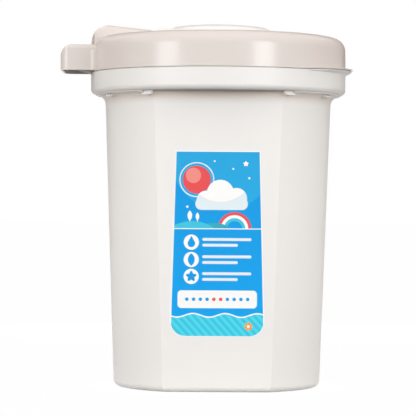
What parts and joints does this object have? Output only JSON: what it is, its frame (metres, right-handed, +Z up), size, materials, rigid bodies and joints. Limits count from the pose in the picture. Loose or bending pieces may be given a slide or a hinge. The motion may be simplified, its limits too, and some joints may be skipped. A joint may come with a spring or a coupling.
{
  "type": "nappy bin",
  "caption": "Tall round nappy bin with two flattened faces, a clipped collar, a hinged lid and a small round flip door with a bowl under it.",
  "frame": {"origin": "on the floor under the tub's axis, at the centre pad of the base", "axes": "+Z up, +X towards the thumb lip, -X towards the lid's hinge block, -Y towards the labelled flat face"},
  "size_m": [0.3575, 0.314, 0.4435],
  "materials": {
    "pail_white": "satin moulded plastic",
    "lid_beige": "semi-gloss moulded plastic",
    "door_white": "semi-gloss moulded plastic",
    "label_print": "printed film",
    "seal_grey": "soft matt",
    "steel": "plain",
    "filter_pad": "pressed fibre"
  },
  "bodies": {
    "pail": {"tub": "pail_white", "collar": "pail_white", "bag_ring": "pail_white", "front_label": "label_print"},
    "lid": {"lid_shell": "lid_beige", "lid_liner": "pail_white", "lid_seal": "seal_grey", "liner_screws": "steel", "lid_hinge_pin": "steel", "door_hinge_pin": "steel"},
    "door": {"door_cover": "door_white", "door_plug": "door_white", "door_seal": "seal_grey", "door_screws": "steel"},
    "cap": {"deodoriser_cap": "door_white", "deodoriser_disc": "filter_pad"}
  },
  "joints": [
    {"name": "lid_hinge", "type": "hinge", "parent": "pail", "child": "lid", "pos_m": [-0.1762, 0, 0.396], "axis": [0, -1, 0], "range_deg": [0, 100]},
    {"name": "door_hinge", "type": "hinge", "parent": "lid", "child": "door", "pos_m": [-0.085, 0, 0.4295], "axis": [0, -1, 0], "range_deg": [0, 95]},
    {"name": "cap_twist", "type": "hinge", "parent": "door", "child": "cap", "pos_m": [0, 0, 0.39], "axis": [0, 0, 1], "range_deg": [0, 60]}
  ]
}
